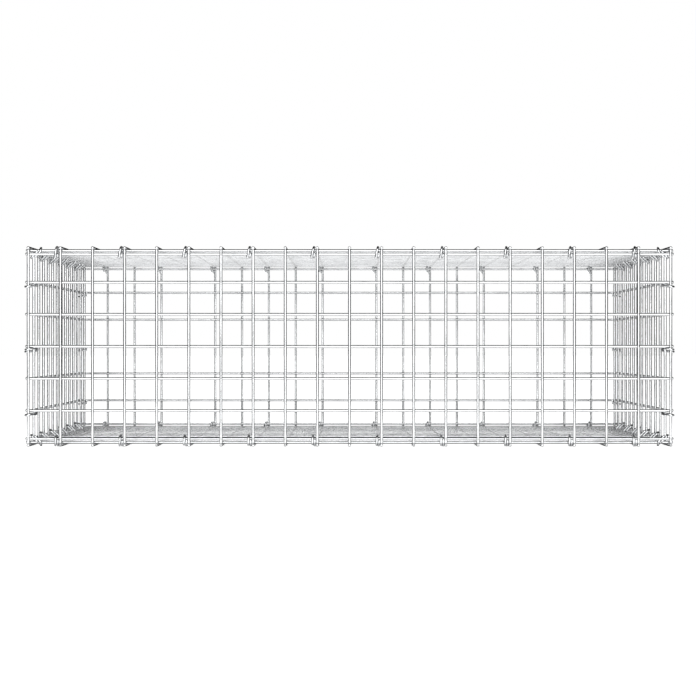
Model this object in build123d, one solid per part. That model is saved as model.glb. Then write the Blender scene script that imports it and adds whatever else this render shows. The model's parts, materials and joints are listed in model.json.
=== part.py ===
from build123d import *
import math
import os

# Empty gabion basket: six panels of welded steel mesh, closed into a box with C-rings.
# Millimetres. +Z up, the front long wall faces -Y, the origin is on the ground under the middle.

# Basket
length = 1000.0         # between the centres of a long wall's end uprights
depth = 600.0           # between the centres of an end wall's end uprights
rail_span = 288.0       # between the centres of a wall's lowest and highest rails

# Mesh
mesh = 50.0             # spacing of the wires, fitted to a whole number of cells
short_row = 44.0        # height of the short cell at a wall's foot and head
overhang = 5.0          # wire past the centre of the last wire that it crosses

# Mesh wire
wire = 4.5              # diameter of every mesh wire, across the flats of its section
wire_facet = 45.0       # degrees that each flat of a wire's section turns through
weld_sink = 0.25        # how far two crossing wires sink into each other where they are welded

# How the panels meet
panel_gap = 0.75        # clear space between a long wall's rails and an end wall's uprights
rail_end_gap = 0.25     # clear space between the end walls' rails and the long walls' rails
end_inset = 7.4         # end walls' uprights, in from the line of the long walls' last uprights
edge_rise = 5.5         # a wall's last rail from the base's or lid's long wires, centre to centre

# C-rings
ring_wire = 3.0         # diameter of a ring's wire
ring_play = 0.1         # clear space between a ring and the wires that it clasps
rings_apart = 100.0     # from one ring to the next along the top and bottom edges
ring_side = 4.5         # ring's centre beside the upright that it sits at
ring_drop = 5.0         # corner ring's centre below the rail that it sits under

# Worked out from the sizes above
layer = wire - weld_sink
wire_r = wire / 2
ring_r = ring_wire / 2
wire_sides = round(360 / wire_facet)
flat = wire * math.tan(math.pi / wire_sides)
half_length = length / 2
half_depth = depth / 2
ring_step = max(1, round(rings_apart / mesh))
straight_limit = 0.01   # a ring's straight stretch shorter than this is left out

base_outer_z = wire_r
base_inner_z = base_outer_z + layer
first_rail_z = base_inner_z + edge_rise
last_rail_z = first_rail_z + rail_span
lid_inner_z = last_rail_z + edge_rise
lid_outer_z = lid_inner_z + layer

rail_y = half_depth + wire + panel_gap
upright_y = rail_y + layer
end_upright_x = half_length - end_inset
end_rail_x = end_upright_x + layer


def spread(start, span):
    """Evenly spaced places over a span, about one mesh spacing apart."""
    cells = max(1, round(span / mesh))
    return [start + span * i / cells for i in range(cells + 1)]


long_xs = spread(-half_length, length)
cross_ys = spread(-half_depth, depth)
rail_zs = [first_rail_z, *spread(first_rail_z + short_row, rail_span - 2 * short_row), last_rail_z]
corner_rows = (1, len(rail_zs) // 2, len(rail_zs) - 2)


def bar(start, end):
    """A straight mesh wire from start to end, with a flat towards each axis."""
    path = Vector(*end) - Vector(*start)
    across = Vector(1, 0, 0) if abs(path.X) < abs(path.Y) + abs(path.Z) else Vector(0, 1, 0)
    plane = Plane(origin=start, x_dir=across, z_dir=path.normalized())
    section = RegularPolygon(wire_r, wire_sides, major_radius=False, rotation=180 / wire_sides)
    return extrude(plane * section, amount=path.length)


def welded(bars):
    """One panel: all its wires fused where they cross."""
    return bars[0].fuse(*bars[1:])


def long_wall(side):
    """Front (side -1) or back (side 1) panel: uprights outside, rails inside."""
    y_up = side * upright_y
    y_rail = side * rail_y
    reach = half_length + overhang
    foot = base_outer_z + wire_r
    head = lid_outer_z - wire_r
    bars = [bar((x, y_up, foot), (x, y_up, head)) for x in long_xs]
    bars += [bar((-reach, y_rail, z), (reach, y_rail, z)) for z in rail_zs]
    return welded(bars)


def end_wall(side):
    """Left (side -1) or right (side 1) panel: uprights inside, rails outside."""
    x_up = side * end_upright_x
    x_rail = side * end_rail_x
    reach = rail_y - wire_r - rail_end_gap
    foot = base_inner_z + wire_r
    head = lid_inner_z - wire_r
    bars = [bar((x_up, y, foot), (x_up, y, head)) for y in cross_ys]
    bars += [bar((x_rail, -reach, z), (x_rail, reach, z)) for z in rail_zs]
    return welded(bars)


def flat_panel(inner_z, outer_z):
    """Base or lid: long wires inside, and outside them the wires from front to back."""
    reach_x = half_length + overhang
    reach_y = upright_y + wire_r
    bars = [bar((-reach_x, y, inner_z), (reach_x, y, inner_z)) for y in cross_ys]
    bars += [bar((x, -reach_y, outer_z), (x, reach_y, outer_z)) for x in long_xs]
    return welded(bars)


def ring_loop(plane, half_long, half_wide, corner):
    """A closed C-ring: its wire follows a rounded rectangle, given by its centre line."""
    straight_long = half_long - corner
    straight_wide = half_wide - corner
    if max(straight_long, straight_wide) < straight_limit:
        return plane * Torus(corner, ring_r)
    if straight_wide < straight_limit:
        outline = SlotOverall(2 * half_long, 2 * corner)
    else:
        outline = RectangleRounded(2 * half_long, 2 * half_wide, corner)
    path = (plane * outline).face().outer_wire()
    section = Plane(origin=path @ 0, z_dir=path % 0) * Circle(ring_r)
    return sweep(section, path=path)


def edge_ring(x, side, upper):
    """Round ring on a long edge: it clasps the wall's last rail and the flat panel's edge wire."""
    rail_z = last_rail_z if upper else first_rail_z
    inner_z = lid_inner_z if upper else base_inner_z
    apart = math.hypot(rail_y - half_depth, rail_z - inner_z)
    radius = apart / 2 + wire_r + ring_play + ring_r
    centre = (x - ring_side, side * (rail_y + half_depth) / 2, (rail_z + inner_z) / 2)
    return ring_loop(Plane(origin=centre, x_dir=(0, 1, 0), z_dir=(1, 0, 0)), radius, radius, radius)


def short_edge_ring(k, end, upper):
    """Slanting ring on a short edge: it clasps an end wall's upright and the long wire at its tip.

    The ring lies in a plane at 45 degrees, just inside the wall's last rail. At the front corner
    it is wider, to take in the front wall's last rail as well.
    """
    up = 1 if upper else -1
    inner_z = lid_inner_z if upper else base_inner_z
    clear = wire_r + ring_play + ring_r
    inward = (edge_rise - layer) / math.sqrt(2) + clear
    rounding = clear - math.sqrt(clear ** 2 - (flat / 2) ** 2)
    half_long = inward + clear * math.sqrt(2) + rounding
    y_near = cross_ys[k] - clear
    y_far = cross_ys[k] + clear
    if k == 0:
        y_near = -rail_y - clear
    shift = inward / math.sqrt(2)
    centre = (end * (end_upright_x - shift), (y_near + y_far) / 2, inner_z - up * shift)
    slant = Vector(end, 0, -up).normalized()
    plane = Plane(origin=centre, x_dir=slant, z_dir=slant.cross(Vector(0, 1, 0)))
    return ring_loop(plane, half_long, (y_far - y_near) / 2, clear)


def corner_ring(side, end, row):
    """Long ring on an upright corner: it clasps a long wall's last upright and the end wall's first."""
    outer = Vector(end * half_length, side * upright_y, 0)
    inner = Vector(end * end_upright_x, side * half_depth, 0)
    apart = inner - outer
    clear = wire_r / math.cos(math.pi / wire_sides) + ring_play + ring_r
    middle = (outer + inner) * 0.5
    centre = (middle.X, middle.Y, rail_zs[row] - ring_drop)
    plane = Plane(origin=centre, x_dir=apart.normalized(), z_dir=(0, 0, 1))
    return ring_loop(plane, apart.length / 2 + clear, clear, clear)


def halves(rings):
    """A row of rings as two groups, from the low end of its axis to the high end."""
    middle = len(rings) // 2
    return Compound(children=rings[:middle]), Compound(children=rings[middle:])


parts = {
    "front_panel": long_wall(-1),
    "back_panel": long_wall(1),
    "left_end_panel": end_wall(-1),
    "right_end_panel": end_wall(1),
    "base_panel": flat_panel(base_inner_z, base_outer_z),
    "lid_panel": flat_panel(lid_inner_z, lid_outer_z),
}

levels = (("bottom", False), ("top", True))
sides = (("front", -1), ("back", 1))
ends = (("left", -1), ("right", 1))

for level, upper in levels:
    for side_name, side in sides:
        row = [edge_ring(x, side, upper) for x in long_xs[1::ring_step]]
        left_half, right_half = halves(row)
        parts[f"{side_name}_{level}_rings_left"] = left_half
        parts[f"{side_name}_{level}_rings_right"] = right_half
    for end_name, end in ends:
        row = [short_edge_ring(k, end, upper) for k in range(0, len(cross_ys) - 1, ring_step)]
        front_half, back_half = halves(row)
        parts[f"{end_name}_{level}_rings_front"] = front_half
        parts[f"{end_name}_{level}_rings_back"] = back_half

for side_name, side in sides:
    for end_name, end in ends:
        for place, row in zip(("low", "middle", "high"), corner_rows):
            parts[f"{side_name}_{end_name}_corner_ring_{place}"] = corner_ring(side, end, row)

os.makedirs("parts", exist_ok=True)
for name, shape in parts.items():
    export_step(shape, f"parts/{name}.step")
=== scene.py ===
import json
import math

import bpy
import numpy as np
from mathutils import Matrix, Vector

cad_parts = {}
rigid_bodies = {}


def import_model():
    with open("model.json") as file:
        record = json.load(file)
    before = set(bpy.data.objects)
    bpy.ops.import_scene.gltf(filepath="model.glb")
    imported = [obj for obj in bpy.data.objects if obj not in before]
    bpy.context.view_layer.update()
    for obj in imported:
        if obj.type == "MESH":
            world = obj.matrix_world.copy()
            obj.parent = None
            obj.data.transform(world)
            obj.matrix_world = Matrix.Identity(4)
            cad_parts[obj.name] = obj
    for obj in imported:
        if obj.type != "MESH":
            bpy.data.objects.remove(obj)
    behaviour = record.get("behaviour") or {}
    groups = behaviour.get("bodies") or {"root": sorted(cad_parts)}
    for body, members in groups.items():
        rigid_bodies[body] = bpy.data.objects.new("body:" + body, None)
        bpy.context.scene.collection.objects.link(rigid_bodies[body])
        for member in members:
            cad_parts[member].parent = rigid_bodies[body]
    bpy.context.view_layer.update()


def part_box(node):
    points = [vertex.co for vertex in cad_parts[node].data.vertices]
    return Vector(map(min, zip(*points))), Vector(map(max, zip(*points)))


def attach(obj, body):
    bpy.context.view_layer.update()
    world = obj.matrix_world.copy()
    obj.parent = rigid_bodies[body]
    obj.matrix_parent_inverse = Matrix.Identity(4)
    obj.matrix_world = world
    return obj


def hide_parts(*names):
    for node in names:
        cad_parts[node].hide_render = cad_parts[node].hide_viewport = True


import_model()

# Lengths are in metres, and angles in radians.

# Mesh
WIRE = 0.0045            # mesh wire's diameter
MESH = 0.05              # spacing of the wires
LENGTH_CELLS = 20
DEPTH_CELLS = 12
FULL_ROWS = 4            # full cells up a wall
SHORT_ROW = 0.044        # short cell at a wall's foot and head
EDGE_RISE = 0.0055       # a wall's last rail from the base's or lid's long wires
WIRE_SIDES = 16

# Welds and cut ends of the mesh wires
WELD_SWELL = 0.00042     # metal squeezed out where two wires are welded
WELD_SPREAD = 0.0019     # how far it spreads along the wire
WELD_TURN = 1.1          # how far it spreads round the wire
SCORCH_SPREAD = 1.6 * WELD_SPREAD
PRESS_DEPTH = 0.00016    # flat that the electrode leaves on the wire's outer side
PRESS_SPREAD = 0.0024
PRESS_TURN = 0.7
END_CHAMFER = 0.0009
END_TAPER = 0.40         # share of the radius that the chamfer takes at the very end
END_SLANT = 0.18         # steepest slope that an end is cut at
CUT_SPREAD = 0.0012      # how far bare metal shows from a cut end
WELD_ROWS = np.array((-3.4, -2.1, -1.1, 0.0, 1.1, 2.1, 3.4)) * 0.001  # rows of points at a weld
END_ROWS = np.array((0.0, 0.22, 0.6, 1.2)) * END_CHAMFER              # rows of points at an end

# C-rings
RING_WIRE = 0.0036
RING_PLAY = 0.0001                  # room between a ring and the wires that it clasps
RING_ROWS = 72                      # rows of points along a ring
RING_SIDES = 12
ARC_POINTS = 24                     # points on a quarter circle of a ring's outline
RING_TIP = 0.8 * RING_WIRE          # stretch over which a ring's cut end tapers
RING_TAPER = 0.45                   # share of the radius that the cut end loses
RING_CUT_ROWS = 2.0                 # rows of points over which bare metal shows
STEP_BEFORE = 2.2 * RING_WIRE       # a local side step starts this far before the seam
STEP_LENGTH = 2.0 * RING_WIRE

# Rings on the long edges. A pair of values is for the lower rings and the upper ones.
EDGE_RING_SIDE = 0.0059             # ring's centre beside its upright
EDGE_RING_HALF = 0.92               # half size of its outline, as a share of a round one's radius
EDGE_RING_CORNER = 0.68             # its outline's corners, as a share of that half size
EDGE_RING_SLACK = 0.00035           # upper rings hang this much looser
EDGE_RING_LAP = (0.0095, 0.012)     # how far the two ends lie side by side, from least to most
EDGE_RING_STEP = -1.04 * RING_WIRE
EDGE_RING_FRONT = (0.51, 0.585)     # middle of the lap, as a share of the way round
EDGE_RING_FRONT_PLAY = 0.025
EDGE_RING_LEAN = (-0.04, 0.13)
EDGE_RING_LEAN_PLAY = 0.05
HALF_WAY = 0.5                      # middle of the outer face, as a share of the way round
STRAIGHT_BELOW = 0.001              # the upper end runs straight from this far below it

# Rings on the short edges
SHORT_RING_SEAM = 0.66              # where its ends meet, as a share of the way round
SHORT_RING_LAP = 3.2 * RING_WIRE

# Rings on the upright corners
CORNER_RINGS = (("low", 1, 0.10), ("middle", 3, 0.46), ("high", 5, 0.10))  # name, rail and seam
CORNER_RING_DROP = 0.0068           # the oval's two ends under the rail
CORNER_RING_BOW = 0.0034            # how far the outer strand bows up from there
CORNER_RING_LAP = 1.6 * RING_WIRE

# Zinc coat
PATCH_SCALE = 38.0                  # dull patches
PATCH_DETAIL = 4.0
PATCH_FROM, PATCH_TO = 0.42, 0.68   # the noise's values where a patch starts and is full
PATCH_DULLS = 0.55
SPECK_SCALE = 1500.0
SPECK_DETAIL = 2.0
GRAIN_DULLS = 0.35                  # how much one grain of the spangle can be duller than another
CUT_SCORCHES = 0.3
DULL_ROUGHENS = 0.10
SCORCH_ROUGHENS = 0.18
GRAIN_RELIEF = 0.35
BUMP_STRENGTH = 0.25
BUMP_DISTANCE = 0.00008
COATS = {
    "mesh_wire": {"Bright": (0.79, 0.80, 0.81, 1), "Dull": (0.56, 0.57, 0.58, 1),
                  "Scorch": (0.40, 0.40, 0.40, 1), "Grain Size": 800.0, "Roughness": 0.12},
    "ring_wire": {"Bright": (0.76, 0.77, 0.78, 1), "Dull": (0.50, 0.51, 0.52, 1),
                  "Scorch": (0.34, 0.34, 0.34, 1), "Grain Size": 1100.0, "Roughness": 0.10},
}

# Studio: strengths of light are 1.0 for the white of the photograph's background
FLOOR_REACH = 30.0
FLOOR_SHADE = 0.8
FLOOR_SEEN = 0.75                   # floor's own glow to the camera
FLOOR_MIRRORED = 0.25               # and in the wires' reflections
WORLD_LIGHT = 0.55                  # world's light on the wires; seen or mirrored it is 1.0
CARD_BLACK = 0.02
# painted light: the apron is a sheet that glows white of its own, seen only in the wires'
# reflections, and is no lamp
APRON_GLOW = 1.6
CARD_SIDE = 1.1                     # cards' left and right edges from the middle
CARD_FRONT, CARD_BACK = -1.4, 3.5
CARD_GAP = 0.004                    # from the floor to the fence
FENCE_HEIGHT = 1.3
CEILING = 1.5
ON_FLOOR = 0.0004
# painted shadow: a black strip on the floor, seen only in reflections, stands for the floor's
# contact shadow at the basket's foot
FOOT_SHADOW_FRONT, FOOT_SHADOW_BACK = -0.303, -0.24
APRON_BACK = -0.325
LAMPS = (  # name, place, aim, size, radiance, and the start of the names of the pieces it reaches
    ("front", (0.0, -4.6, 1.1), (0.0, 0.0, 0.15), (5.0, 2.6), 1.75, None),
    ("glow", (0.0, 0.75, 1.15), (0.0, 0.0, 1.15), (3.0, 2.2), 1.3, "back_"),
    ("base_glow", (0.0, 1.3, 1.15), (0.0, 0.0, 1.15), (3.0, 2.2), 1.2, "base_panel"),
    ("bounce", (0.0, 0.0, 0.02), (0.0, 0.0, 0.3), (2.4, 2.4), 0.35, "lid_panel"),
)

# The photograph's view: level with the basket's middle, square to its front
IMAGE_SIDE = 696.0                  # pixels
VANISHING_POINT = (349.5, 346.5)    # pixels, where the wires from front to back would meet
CELL_PIXELS = 32.13                 # one mesh cell of the front's uprights
CAMERA_DISTANCE = 3.143             # from the plane of the front's uprights
SENSOR = 36.0                       # millimetres
CLIP_END = 100.0

WIRE_R = WIRE / 2
RING_R = RING_WIRE / 2
RING_CLEAR = WIRE_R + RING_PLAY + RING_R  # a ring's line from the middle of a wire that it clasps
X_AXIS = np.array((1.0, 0.0, 0.0))
Y_AXIS = np.array((0.0, 1.0, 0.0))
Z_AXIS = np.array((0.0, 0.0, 1.0))
SIDES = (("front", -1), ("back", 1))
ENDS = (("left", -1), ("right", 1))
WHITE = (1, 1, 1, 1)


def low_high(name):
    """Lowest and highest corner of a CAD node."""
    low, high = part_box(name)
    return np.array(low), np.array(high)


base_low, base_high = low_high("base_panel")
lid_low, lid_high = low_high("lid_panel")
front_low, front_high = low_high("front_panel")
end_low, end_high = low_high("right_end_panel")

base_inner_z = base_high[2] - WIRE_R
lid_inner_z = lid_low[2] + WIRE_R
first_rail_z = base_inner_z + EDGE_RISE
last_rail_z = lid_inner_z - EDGE_RISE
middle_rail_zs = [first_rail_z + SHORT_ROW + MESH * row for row in range(FULL_ROWS + 1)]
rail_zs = np.array([first_rail_z, *middle_rail_zs, last_rail_z])
long_xs = MESH * (np.arange(LENGTH_CELLS + 1) - LENGTH_CELLS / 2)
cross_ys = MESH * (np.arange(DEPTH_CELLS + 1) - DEPTH_CELLS / 2)
upright_y = -(front_low[1] + WIRE_R)
rail_y = -(front_high[1] - WIRE_R)
end_upright_x = end_low[0] + WIRE_R
end_rail_x = end_high[0] - WIRE_R
half_length = long_xs[-1]
half_depth = cross_ys[-1]


def new_mesh(name, points, faces, values=None):
    """A mesh object at the origin with smooth faces, and a float attribute for each named array."""
    mesh = bpy.data.meshes.new(name)
    mesh.from_pydata(points.reshape(-1, 3).tolist(), [], faces)
    for key, array in (values or {}).items():
        layer = mesh.attributes.new(key, "FLOAT", "POINT")
        layer.data.foreach_set("value", array.astype(np.float32).ravel())
    mesh.polygons.foreach_set("use_smooth", np.ones(len(mesh.polygons), dtype=bool))
    mesh.update()
    piece = bpy.data.objects.new(name, mesh)
    bpy.context.collection.objects.link(piece)
    return piece


def wire_piece(name, ending, slot, points, faces, welds, cuts):
    """One visible piece in place of a CAD node, with its welds and cut ends marked."""
    values = {"weld": np.concatenate(welds), "cut_end": np.concatenate(cuts)}
    piece = new_mesh(name + ending, np.concatenate(points), faces, values)
    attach(piece, "root")
    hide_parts(name)
    piece.data.materials.append(materials[slot])


def tube_faces(tubes, rings, sides, first):
    """Quads round every tube and a fan of triangles over each of its two ends.

    Point (t, i, j) has the number first + (t * rings + i) * sides + j. After all of these come
    two end points a tube, and each fan joins an end point to its ring.
    """
    counts = (np.arange(tubes), np.arange(rings - 1), np.arange(sides))
    tube, ring, side = np.meshgrid(*counts, indexing="ij")
    after = (side + 1) % sides
    start = first + (tube * rings + ring) * sides
    quads = (start + side, start + after, start + sides + after, start + sides + side)
    tube, side = np.meshgrid(np.arange(tubes), np.arange(sides), indexing="ij")
    after = (side + 1) % sides
    head = first + tube * rings * sides
    tail = head + (rings - 1) * sides
    tips = first + tubes * rings * sides + 2 * tube
    head_fan = (tips, head + after, head + side)
    tail_fan = (tips + 1, tail + side, tail + after)
    faces = []
    for corners in (quads, head_fan, tail_fan):
        faces += np.stack(corners, -1).reshape(-1, len(corners)).tolist()
    return faces


def wire_family(starts, along, toward, length, crossings, shear):
    """Straight round wires that run side by side, welded to the wires that cross them.

    At distance s along the wire and angle a round it, measured from the side where the crossing
    wires lie, the surface is
    start + s * along + r * (cos a * toward + sin a * across) + slant * R * cos a * along, where
    r = (R + swell * exp(-(d / weld_spread)^2) * exp(-(a / weld_turn)^2)
           - press * exp(-(d / press_spread)^2) * exp(-((|a| - pi) / press_turn)^2))
        * (1 - taper * c^2),
    d is the distance from s to the nearest crossing, c falls from 1 to 0 over the chamfer at
    each end, and slant is c times the wire's own shear.
    """
    across = np.cross(along, toward)
    s = np.concatenate((END_ROWS, (crossings[:, None] + WELD_ROWS).ravel(), length - END_ROWS))
    s = np.unique(np.clip(s, 0, length).round(7))
    angle = 2 * math.pi * np.arange(WIRE_SIDES) / WIRE_SIDES
    turn = np.where(angle > math.pi, angle - 2 * math.pi, angle)
    from_outside = np.abs(turn) - math.pi
    gap = np.abs(s[:, None] - crossings).min(axis=1)
    from_end = np.minimum(s, length - s)
    swell = np.exp(-(gap / WELD_SPREAD) ** 2)[:, None] * np.exp(-(turn / WELD_TURN) ** 2)
    press = np.exp(-(gap / PRESS_SPREAD) ** 2)[:, None] * np.exp(-(from_outside / PRESS_TURN) ** 2)
    rounding = 1 - END_TAPER * np.clip(1 - from_end / END_CHAMFER, 0, 1)[:, None] ** 2
    radius = (WIRE_R + WELD_SWELL * swell - PRESS_DEPTH * press) * rounding
    spoke = np.cos(angle)[:, None] * toward + np.sin(angle)[:, None] * across
    skin = s[:, None, None] * along + radius[:, :, None] * spoke
    points = starts[:, None, None, :] + skin
    slant = (shear[:, None, None] * (np.cos(angle) * WIRE_R))[..., None] * along
    at_head = np.clip(1 - s / END_CHAMFER, 0, 1)[None, :, None, None]
    at_tail = np.clip(1 - (length - s) / END_CHAMFER, 0, 1)[None, :, None, None]
    points = points + slant * (at_head + at_tail)
    tips = np.stack((starts, starts + length * along), axis=1)
    tubes = len(starts)
    weld = np.tile(np.repeat(np.exp(-(gap / SCORCH_SPREAD) ** 2), WIRE_SIDES), tubes)
    cut = np.tile(np.repeat(np.exp(-(from_end / CUT_SPREAD) ** 2), WIRE_SIDES), tubes)
    weld = np.concatenate((weld, np.zeros(2 * tubes)))
    cut = np.concatenate((cut, np.ones(2 * tubes)))
    return points.reshape(-1, 3), tips.reshape(-1, 3), len(s), weld, cut


def mesh_panel(name, *families):
    """One welded panel: families of parallel wires as one mesh."""
    rng = np.random.default_rng(sum(map(ord, name)))
    points, faces, welds, cuts = [], [], [], []
    first = 0
    for starts, along, toward, length, crossings in families:
        shear = rng.uniform(-END_SLANT, END_SLANT, len(starts))
        skin, tips, rings, weld, cut = wire_family(starts, along, toward, length, crossings, shear)
        faces += tube_faces(len(starts), rings, WIRE_SIDES, first)
        points += [skin, tips]
        welds.append(weld)
        cuts.append(cut)
        first += len(skin) + len(tips)
    wire_piece(name, "_mesh", "mesh_wire", points, faces, welds, cuts)


def rows(xs, ys, zs):
    """Start points of a family: one of the three is an array, the others are single values."""
    return np.stack(np.broadcast_arrays(xs, ys, zs), axis=-1).astype(float)


def long_wall(name, side):
    """Front (side -1) or back (side 1) panel: uprights outside, rails inside."""
    low, high = low_high(name)
    length, _, height = high - low
    uprights = rows(long_xs, side * upright_y, low[2])
    rails = rows(low[0], side * rail_y, rail_zs)
    mesh_panel(name,
               (uprights, Z_AXIS, -side * Y_AXIS, height, rail_zs - low[2]),
               (rails, X_AXIS, side * Y_AXIS, length, long_xs - low[0]))


def end_wall(name, side):
    """Left (side -1) or right (side 1) panel: uprights inside, rails outside."""
    low, high = low_high(name)
    _, depth, height = high - low
    uprights = rows(side * end_upright_x, cross_ys, low[2])
    rails = rows(side * end_rail_x, low[1], rail_zs)
    mesh_panel(name,
               (uprights, Z_AXIS, side * X_AXIS, height, rail_zs - low[2]),
               (rails, Y_AXIS, -side * X_AXIS, depth, cross_ys - low[1]))


def flat_panel(name, up):
    """Base (up -1) or lid (up 1): long wires inside, wires from front to back outside."""
    low, high = low_high(name)
    length, depth, _ = high - low
    inner_z = low[2] + WIRE_R if up > 0 else high[2] - WIRE_R
    outer_z = high[2] - WIRE_R if up > 0 else low[2] + WIRE_R
    long_wires = rows(low[0], cross_ys, inner_z)
    cross_wires = rows(long_xs, low[1], outer_z)
    mesh_panel(name,
               (long_wires, X_AXIS, up * Z_AXIS, length, long_xs - low[0]),
               (cross_wires, Y_AXIS, -up * Z_AXIS, depth, cross_ys - low[1]))


def rounded_outline(half_long, half_wide, corner):
    """A rounded rectangle as a fine polygon, and each of its points' distance along it.

    It is four quarter circles of the corner's radius joined by straight sides.
    """
    quarter = np.linspace(0, math.pi / 2, ARC_POINTS)
    arcs = []
    for turn, (along, across) in enumerate(((1, 1), (-1, 1), (-1, -1), (1, -1))):
        angle = quarter + turn * math.pi / 2
        arcs.append(np.stack((along * (half_long - corner) + corner * np.cos(angle),
                              across * (half_wide - corner) + corner * np.sin(angle)), -1))
    outline = np.concatenate(arcs + [arcs[0][:1]])
    steps = np.linalg.norm(np.diff(outline, axis=0), axis=1)
    return outline, np.concatenate(([0.0], np.cumsum(steps)))


def ring_skin(centre, long_dir, wide_dir, half_long, half_wide, corner, seam, lap, side_step,
              local=0.0, bow=0.0, tail=0.0):
    """One C-ring closed round its wires, its two ends side by side.

    Its centre line walks once round a rounded rectangle in the plane of long_dir and wide_dir,
    from the seam (a share of the way round) on past it by the lap. Over its last stretch, the
    tail, it runs straight on. Across the plane it moves by side_step, evenly along the way
    (local 0) or only over a stretch before the seam (local 1), so that the ends lie beside each
    other. The strand on the side of wide_dir also bows across the plane by
    bow * (1 - (u / half_long)^4) * (1 + v / half_wide) / 2
    at the place (u, v) in the plane. At angle a round the line the surface is
    line + r * (cos a * out + sin a * over), where r = R * (1 - taper * c^2) and c falls from 1
    to 0 over the tip at each cut end.
    """
    outline, run = rounded_outline(half_long, half_wide, corner)
    loop = run[-1]

    def place(distance):
        where = np.mod(distance + seam * loop, loop)
        return np.stack([np.interp(where, run, outline[:, axis]) for axis in (0, 1)], -1)

    travel = np.linspace(0, loop + lap, RING_ROWS)
    held = np.minimum(travel, loop + lap - tail)
    flat = place(held)
    run_on = (flat - place(held - RING_R / 4))[-1]
    flat = flat + (travel - held)[:, None] * run_on / np.linalg.norm(run_on)
    even = travel / (loop + lap) - 0.5
    late = np.clip((travel - (loop - STEP_BEFORE)) / STEP_LENGTH, 0, 1)
    late = late * late * (3 - 2 * late)
    normal = np.cross(long_dir, wide_dir)
    offset = side_step * ((1 - local) * even * (loop + lap) / loop + local * late)
    offset += bow * (1 - (flat[:, 0] / half_long) ** 4) * (0.5 + 0.5 * flat[:, 1] / half_wide)
    line = centre + flat[:, :1] * long_dir + flat[:, 1:] * wide_dir + offset[:, None] * normal
    ahead = np.gradient(line, axis=0)
    ahead /= np.linalg.norm(ahead, axis=1)[:, None]
    out = np.cross(ahead, normal)
    out /= np.linalg.norm(out, axis=1)[:, None]
    over = np.cross(out, ahead)
    end_gap = np.minimum(travel, travel[-1] - travel)
    radius = RING_R * (1 - RING_TAPER * np.clip(1 - end_gap / RING_TIP, 0, 1) ** 2)
    angle = 2 * math.pi * np.arange(RING_SIDES)[:, None] / RING_SIDES
    spoke = np.cos(angle) * out[:, None, :] + np.sin(angle) * over[:, None, :]
    skin = line[:, None, :] + radius[:, None, None] * spoke
    return skin.reshape(-1, 3), np.stack((line[0], line[-1]))


def ring_piece(name, rings):
    """All the C-rings of one CAD node as one mesh."""
    points, faces = [], []
    first = 0
    for ring in rings:
        skin, tips = ring_skin(**ring)
        faces += tube_faces(1, RING_ROWS, RING_SIDES, first)
        points += [skin, tips]
        first += len(skin) + len(tips)
    row = np.arange(RING_ROWS)
    cut = np.exp(-(np.minimum(row, row[::-1]) / RING_CUT_ROWS) ** 2)
    cuts = [np.repeat(cut, RING_SIDES), np.ones(2)] * len(rings)
    wire_piece(name, "_closed", "ring_wire", points, faces, [np.zeros(first)], cuts)


def edge_ring(index, side, upper):
    """Squarish ring on a long edge, beside every second upright.

    Its two ends lie side by side on the outer face: one comes over the top and points down, the
    other comes from below and points up.
    """
    rail_z = last_rail_z if upper else first_rail_z
    inner_z = lid_inner_z if upper else base_inner_z
    apart = math.hypot(rail_y - half_depth, rail_z - inner_z)
    half_size = EDGE_RING_HALF * (apart / 2 + RING_CLEAR)
    centre = np.array((long_xs[index] - EDGE_RING_SIDE, side * (rail_y + half_depth) / 2,
                       (rail_z + inner_z) / 2))
    if upper:
        half_size += EDGE_RING_SLACK
        centre += EDGE_RING_SLACK * Z_AXIS
    seed = 1000 + 97 * index + 13 * (side + 2) + (500 if upper else 0)  # its own for each ring
    rng = np.random.default_rng(seed)
    lap = rng.uniform(*EDGE_RING_LAP)
    front = EDGE_RING_FRONT[upper] + rng.uniform(-EDGE_RING_FRONT_PLAY, EDGE_RING_FRONT_PLAY)
    lean = EDGE_RING_LEAN[upper] + rng.uniform(-EDGE_RING_LEAN_PLAY, EDGE_RING_LEAN_PLAY)
    lean *= side
    corner = EDGE_RING_CORNER * half_size
    loop = rounded_outline(half_size, half_size, corner)[1][-1]
    return dict(centre=centre, long_dir=-side * Y_AXIS,
                wide_dir=np.array((-math.sin(lean), 0.0, math.cos(lean))),
                half_long=half_size, half_wide=half_size, corner=corner,
                seam=front - lap / (2 * loop), lap=lap, side_step=EDGE_RING_STEP,
                tail=max(0.0, (front - HALF_WAY) * loop + lap / 2 - STRAIGHT_BELOW))


def short_edge_ring(index, end, upper):
    """Slanting ring on a short edge, just inside the end wall's last rail.

    The first one lies close behind the front wall's last rail, as in the photograph, and cuts
    into it a little. A ring's ends step aside towards the inside of the basket.
    """
    up = 1 if upper else -1
    inner_z = lid_inner_z if upper else base_inner_z
    layer = end_rail_x - end_upright_x
    inward = (EDGE_RISE - layer) / math.sqrt(2) + RING_CLEAR
    shift = inward / math.sqrt(2)
    return dict(centre=np.array((end * (end_upright_x - shift), cross_ys[index],
                                 inner_z - up * shift)),
                long_dir=np.array((end, 0.0, -up)) / math.sqrt(2), wide_dir=Y_AXIS,
                half_long=inward + RING_CLEAR * math.sqrt(2), half_wide=RING_CLEAR,
                corner=RING_CLEAR, seam=SHORT_RING_SEAM, lap=SHORT_RING_LAP,
                side_step=-end * up * RING_WIRE, local=1.0)


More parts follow.
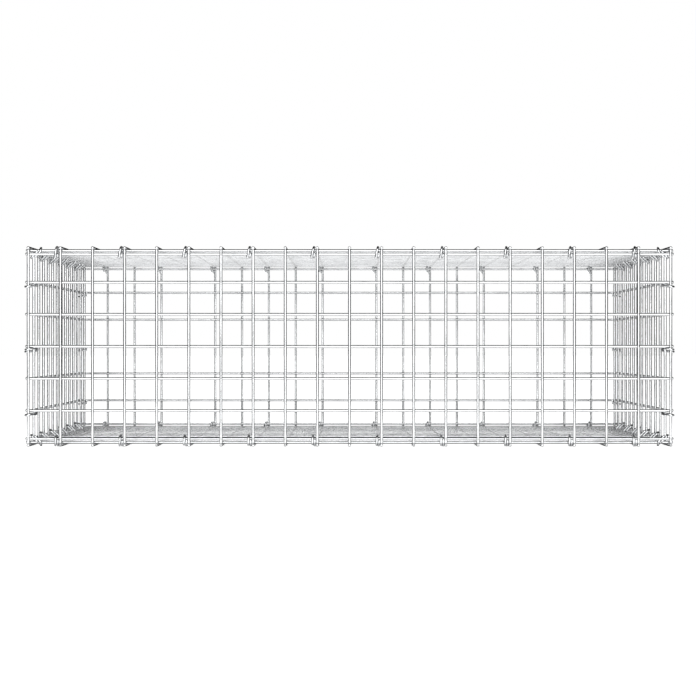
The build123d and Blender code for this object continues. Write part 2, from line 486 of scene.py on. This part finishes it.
def corner_ring(side, end, rail, seam):
    """Long ring on an upright corner, under a rail, with its outer strand bowed up."""
    outer = np.array((end * half_length, side * upright_y, 0.0))
    inner = np.array((end * end_upright_x, side * half_depth, 0.0))
    length = np.linalg.norm(inner - outer)
    long_dir = (inner - outer) / length
    facing = -side * end
    return dict(centre=(outer + inner) / 2 + (rail_zs[rail] - CORNER_RING_DROP) * Z_AXIS,
                long_dir=long_dir, wide_dir=facing * np.cross(Z_AXIS, long_dir),
                half_long=length / 2 + RING_CLEAR, half_wide=RING_CLEAR, corner=RING_CLEAR,
                seam=seam, lap=CORNER_RING_LAP, side_step=facing * RING_WIRE,
                bow=facing * CORNER_RING_BOW)


def feed(tree, shader, inputs):
    """Give a node's inputs, by name or number, a value or another node's output."""
    for key, value in inputs.items():
        if isinstance(value, bpy.types.NodeSocket):
            tree.links.new(value, shader.inputs[key])
        else:
            shader.inputs[key].default_value = value


def node(tree, kind, place, inputs=None, **settings):
    """A shader node at a place in the editor, with its settings and inputs."""
    made = tree.nodes.new(kind)
    made.location = place
    for key, value in settings.items():
        setattr(made, key, value)
    feed(tree, made, inputs or {})
    return made


def calc(tree, place, operation, *values, **settings):
    """The output of a math node, whose values are numbers or other nodes' outputs."""
    made = node(tree, "ShaderNodeMath", place, dict(enumerate(values)), operation=operation,
                **settings)
    return made.outputs[0]


def zinc_group():
    """Galvanised coat: spangle, dull patches, weld scorch and bare cut ends.

    Its outputs are the colour, the roughness and the height of the surface.
    """
    group = bpy.data.node_groups.new("zinc_coat", "ShaderNodeTree")
    for name, kind, default in (
            ("Bright", "Color", (0.8, 0.8, 0.8, 1)), ("Dull", "Color", (0.5, 0.5, 0.5, 1)),
            ("Scorch", "Color", (0.3, 0.3, 0.3, 1)), ("Grain Size", "Float", 900.0),
            ("Roughness", "Float", 0.35), ("Weld", "Float", 0.0), ("Cut", "Float", 0.0)):
        group.interface.new_socket(
            name=name, in_out="INPUT", socket_type="NodeSocket" + kind).default_value = default
    for name, kind in (("Color", "Color"), ("Roughness", "Float"), ("Height", "Float")):
        group.interface.new_socket(name=name, in_out="OUTPUT", socket_type="NodeSocket" + kind)
    given = node(group, "NodeGroupInput", (-1100, 0)).outputs
    place = node(group, "ShaderNodeTexCoord", (-1100, -300)).outputs["Object"]

    spangle = node(group, "ShaderNodeTexVoronoi", (-850, 250),
                   {"Vector": place, "Scale": given["Grain Size"]}, feature="F1").outputs
    split = node(group, "ShaderNodeSeparateColor", (-650, 250), {"Color": spangle["Color"]})
    patch = node(group, "ShaderNodeTexNoise", (-850, -50),
                 {"Scale": PATCH_SCALE, "Detail": PATCH_DETAIL, "Vector": place})
    patch_range = node(group, "ShaderNodeMapRange", (-650, -50),
                       {"From Min": PATCH_FROM, "From Max": PATCH_TO,
                        "Value": patch.outputs["Fac"]})
    speck = node(group, "ShaderNodeTexNoise", (-850, -350),
                 {"Scale": SPECK_SCALE, "Detail": SPECK_DETAIL, "Vector": place}).outputs["Fac"]

    grain = calc(group, (-450, 200), "MULTIPLY", split.outputs["Red"], GRAIN_DULLS)
    dullness = calc(group, (-450, 0), "MULTIPLY_ADD",
                    patch_range.outputs["Result"], PATCH_DULLS, grain)
    coat = node(group, "ShaderNodeMix", (-200, 200), data_type="RGBA")
    feed(group, coat, {"Factor": dullness, "A": given["Bright"], "B": given["Dull"]})

    burnt_weld = calc(group, (-650, -200), "MULTIPLY", given["Weld"], speck)
    burnt = calc(group, (-450, -200), "MULTIPLY_ADD", given["Cut"], CUT_SCORCHES, burnt_weld)
    burnt = node(group, "ShaderNodeClamp", (-200, -200), {"Value": burnt}).outputs[0]
    finish = node(group, "ShaderNodeMix", (100, 150), data_type="RGBA")
    feed(group, finish, {"Factor": burnt, "A": coat.outputs["Result"], "B": given["Scorch"]})

    rough = calc(group, (100, -50), "MULTIPLY_ADD", dullness, DULL_ROUGHENS, given["Roughness"])
    rough = calc(group, (300, -50), "MULTIPLY_ADD", burnt, SCORCH_ROUGHENS, rough,
                 use_clamp=True)
    height = calc(group, (100, -300), "MULTIPLY_ADD", spangle["Distance"], GRAIN_RELIEF, speck)
    node(group, "NodeGroupOutput", (900, 0),
         {"Color": finish.outputs["Result"], "Roughness": rough, "Height": height})
    return group


def new_material(name, inputs):
    """A material with these inputs of its Principled BSDF, and its node tree and that shader."""
    material = bpy.data.materials.new(name)
    material.use_nodes = True
    tree = material.node_tree
    shader = tree.nodes["Principled BSDF"]
    feed(tree, shader, inputs)
    return material, tree, shader


def zinc_material(name, group, look):
    """A metal with the zinc coat's colour, roughness and bump."""
    material, tree, shader = new_material(name, {"Metallic": 1.0})
    coat = node(tree, "ShaderNodeGroup", (-350, 100), node_tree=group)
    feed(tree, coat, look)
    for attribute, socket in (("weld", "Weld"), ("cut_end", "Cut")):
        reader = node(tree, "ShaderNodeAttribute", (-600, 100), attribute_name=attribute)
        feed(tree, coat, {socket: reader.outputs["Fac"]})
    bump = node(tree, "ShaderNodeBump", (-150, -200),
                {"Strength": BUMP_STRENGTH, "Distance": BUMP_DISTANCE,
                 "Height": coat.outputs["Height"]})
    feed(tree, shader, {"Base Color": coat.outputs["Color"],
                        "Roughness": coat.outputs["Roughness"],
                        "Normal": bump.outputs["Normal"]})
    return material


def matt_material(name, shade, glow=0.0):
    """Matt paper of one shade, with an even white glow of its own."""
    return new_material(name, {
        "Base Color": (shade, shade, shade, 1), "Roughness": 1.0, "Specular IOR Level": 0.0,
        "Emission Color": WHITE, "Emission Strength": glow})


def plain_floor():
    """A wide pale floor that the camera sees as white, with the basket's shadow kept."""
    corners = FLOOR_REACH * np.array(((-1, -1, 0), (1, -1, 0), (1, 1, 0), (-1, 1, 0)))
    floor = new_mesh("floor", corners, [(0, 1, 2, 3)])
    material, tree, shader = matt_material("floor_white", FLOOR_SHADE)
    path = node(tree, "ShaderNodeLightPath", (-500, 300)).outputs
    mirrored = calc(tree, (-300, 300), "MULTIPLY", path["Is Glossy Ray"], FLOOR_MIRRORED)
    glow = calc(tree, (-100, 300), "MULTIPLY_ADD", path["Is Camera Ray"], FLOOR_SEEN, mirrored)
    feed(tree, shader, {"Emission Strength": glow})
    floor.data.materials.append(material)


def white_world():
    """Seen or mirrored as white, and giving a softer light than that."""
    world = bpy.data.worlds.new("studio")
    world.use_nodes = True
    tree = world.node_tree
    path = node(tree, "ShaderNodeLightPath", (-700, 200)).outputs
    seen = calc(tree, (-500, 200), "MAXIMUM", path["Is Camera Ray"], path["Is Glossy Ray"])
    through = calc(tree, (-300, 200), "MAXIMUM", seen, path["Is Transmission Ray"])
    strength = node(tree, "ShaderNodeMapRange", (-100, 200),
                    {"To Min": WORLD_LIGHT, "To Max": 1.0, "Value": through})
    feed(tree, tree.nodes["Background"],
         {"Color": WHITE, "Strength": strength.outputs["Result"]})
    bpy.context.scene.world = world


def bent_card(name, profile, sweep, material):
    """A studio card that only the wires mirror: a profile's points carried along sweep."""
    near = np.array(profile, dtype=float)
    points = np.stack((near, near + np.array(sweep)), axis=1)
    faces = [(2 * i, 2 * i + 1, 2 * i + 3, 2 * i + 2) for i in range(len(near) - 1)]
    card = new_mesh(name, points, faces)
    card.data.polygons.foreach_set("use_smooth", np.zeros(len(faces), dtype=bool))
    card.data.materials.append(material)
    card.visible_camera = False
    card.visible_diffuse = False
    card.visible_transmission = False
    card.visible_shadow = False


def studio_cards():
    """Cards that give the bright wires dark outlines on the pale background.

    A fence on the left, the back and the right is what the uprights mirror, and a strip overhead,
    bent down behind the basket, is what the rails mirror. A narrow black strip on the floor is a
    painted shadow: it stands for the floor's contact shadow at the basket's foot and darkens the
    undersides there in reflections. Before it lies a sheet of painted light, which glows white of
    its own and is no lamp and no lit paper, and it brightens the lowest wires in reflections.
    """
    black = matt_material("card_black", CARD_BLACK)[0]
    # painted light: the apron card has no colour of its own and glows to brighten the lowest wires'
    # reflections
    white = matt_material("card_white", 0.0, APRON_GLOW)[0]
    fence = [(-CARD_SIDE, CARD_FRONT, CARD_GAP), (-CARD_SIDE, CARD_BACK, CARD_GAP),
             (CARD_SIDE, CARD_BACK, CARD_GAP), (CARD_SIDE, CARD_FRONT, CARD_GAP)]
    strip = [(-CARD_SIDE, CARD_FRONT, CEILING), (-CARD_SIDE, CARD_BACK, CEILING),
             (-CARD_SIDE, CARD_BACK, CARD_GAP)]
    # painted shadow: the black foot strip stands for the contact shadow that the wires mirror
    foot = [(-half_length, y, ON_FLOOR) for y in (FOOT_SHADOW_FRONT, FOOT_SHADOW_BACK)]
    apron = [(-CARD_SIDE, y, ON_FLOOR) for y in (CARD_FRONT, APRON_BACK)]
    bent_card("card_fence", fence, (0, 0, FENCE_HEIGHT), black)
    bent_card("card_strip", strip, (2 * CARD_SIDE, 0, 0), black)
    bent_card("card_foot", foot, (2 * half_length, 0, 0), black)
    bent_card("card_apron", apron, (2 * CARD_SIDE, 0, 0), white)


def softbox(name, place, target, size, radiance, reached):
    """A soft rectangular lamp aimed at a point, with its radiance as seen in a mirror.

    It lights everything, or only the shown pieces whose names start with reached.
    """
    lamp = bpy.data.lights.new(name, "AREA")
    lamp.shape = "RECTANGLE"
    lamp.size, lamp.size_y = size
    lamp.energy = 4 * size[0] * size[1] * radiance
    holder = bpy.data.objects.new(name, lamp)
    bpy.context.collection.objects.link(holder)
    aim = Vector(target) - Vector(place)
    holder.location = place
    holder.rotation_euler = aim.to_track_quat("-Z", "Y").to_euler()
    holder.visible_camera = False
    if reached:
        lit = bpy.data.collections.new(name + "_reaches")
        for piece in bpy.context.scene.objects:
            if piece.type == "MESH" and piece.name.startswith(reached) and not piece.hide_render:
                lit.objects.link(piece)
        holder.light_linking.receiver_collection = lit


def photo_camera():
    """Camera straight in front, with only the shift that the framing needs."""
    camera_data = bpy.data.cameras.new("photo_camera")
    camera = bpy.data.objects.new("photo_camera", camera_data)
    bpy.context.collection.objects.link(camera)
    view_width = MESH * IMAGE_SIDE / CELL_PIXELS
    camera_data.sensor_width = SENSOR
    camera_data.lens = SENSOR * CAMERA_DISTANCE / view_width
    camera_data.shift_x = (IMAGE_SIDE / 2 - VANISHING_POINT[0]) / IMAGE_SIDE
    camera_data.shift_y = (VANISHING_POINT[1] - IMAGE_SIDE / 2) / IMAGE_SIDE
    camera_data.clip_end = CLIP_END
    camera.location = (0.0, -upright_y - CAMERA_DISTANCE, (base_low[2] + lid_high[2]) / 2)
    camera.rotation_euler = (math.pi / 2, 0.0, 0.0)
    bpy.context.scene.camera = camera


def halves(row):
    """The first half of a row and its second half."""
    return row[:len(row) // 2], row[len(row) // 2:]


photo_camera()

zinc = zinc_group()
materials = {name: zinc_material(name, zinc, look) for name, look in COATS.items()}

long_wall("front_panel", -1)
long_wall("back_panel", 1)
end_wall("left_end_panel", -1)
end_wall("right_end_panel", 1)
flat_panel("base_panel", -1)
flat_panel("lid_panel", 1)

for level, upper in (("bottom", False), ("top", True)):
    for side_name, side in SIDES:
        for half_name, half in zip(("left", "right"), halves(range(1, LENGTH_CELLS, 2))):
            ring_piece(f"{side_name}_{level}_rings_{half_name}",
                       [edge_ring(index, side, upper) for index in half])
    for end_name, end in ENDS:
        for half_name, half in zip(("front", "back"), halves(range(0, DEPTH_CELLS, 2))):
            ring_piece(f"{end_name}_{level}_rings_{half_name}",
                       [short_edge_ring(index, end, upper) for index in half])
for side_name, side in SIDES:
    for end_name, end in ENDS:
        for place, rail, seam in CORNER_RINGS:
            ring_piece(f"{side_name}_{end_name}_corner_ring_{place}",
                       [corner_ring(side, end, rail, seam)])

plain_floor()
white_world()
studio_cards()
for lamp in LAMPS:
    softbox(*lamp)

bpy.context.scene.view_settings.view_transform = "Standard"
